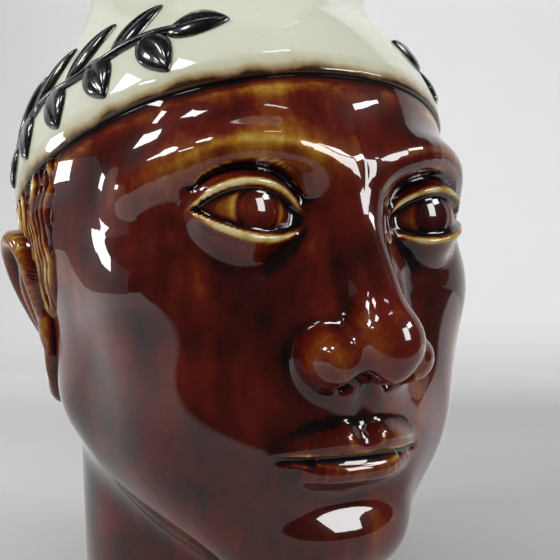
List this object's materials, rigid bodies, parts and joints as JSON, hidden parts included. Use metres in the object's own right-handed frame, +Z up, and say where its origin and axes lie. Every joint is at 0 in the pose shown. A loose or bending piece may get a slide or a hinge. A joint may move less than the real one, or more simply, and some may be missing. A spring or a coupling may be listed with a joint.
{
  "type": "face carafe",
  "caption": "Glazed earthenware carafe shaped as a head in a headscarf, with an open collar, pouring lip and strap handle.",
  "frame": {"origin": "centre of the foot, on the table", "axes": "+Z up through the collar, -Y the way the face looks, +X towards the head's own left ear"},
  "size_m": [0.118, 0.1571, 0.207],
  "materials": {
    "brown_glaze": "glossy treacle-brown glaze that thins to amber on the ridges",
    "cream_glaze": "glossy cream-white glaze",
    "black_glaze": "glossy black glaze on raised relief",
    "bare_clay": "matt unglazed fired clay"
  },
  "bodies": {
    "root": {"head_shell": "brown_glaze", "base_disc": "bare_clay", "scarf_shell": "cream_glaze", "collar": "cream_glaze", "handle": "cream_glaze", "ear_left": "brown_glaze", "ear_right": "brown_glaze", "leaf_spray_left": "black_glaze", "leaf_spray_right": "black_glaze"}
  },
  "joints": []
}
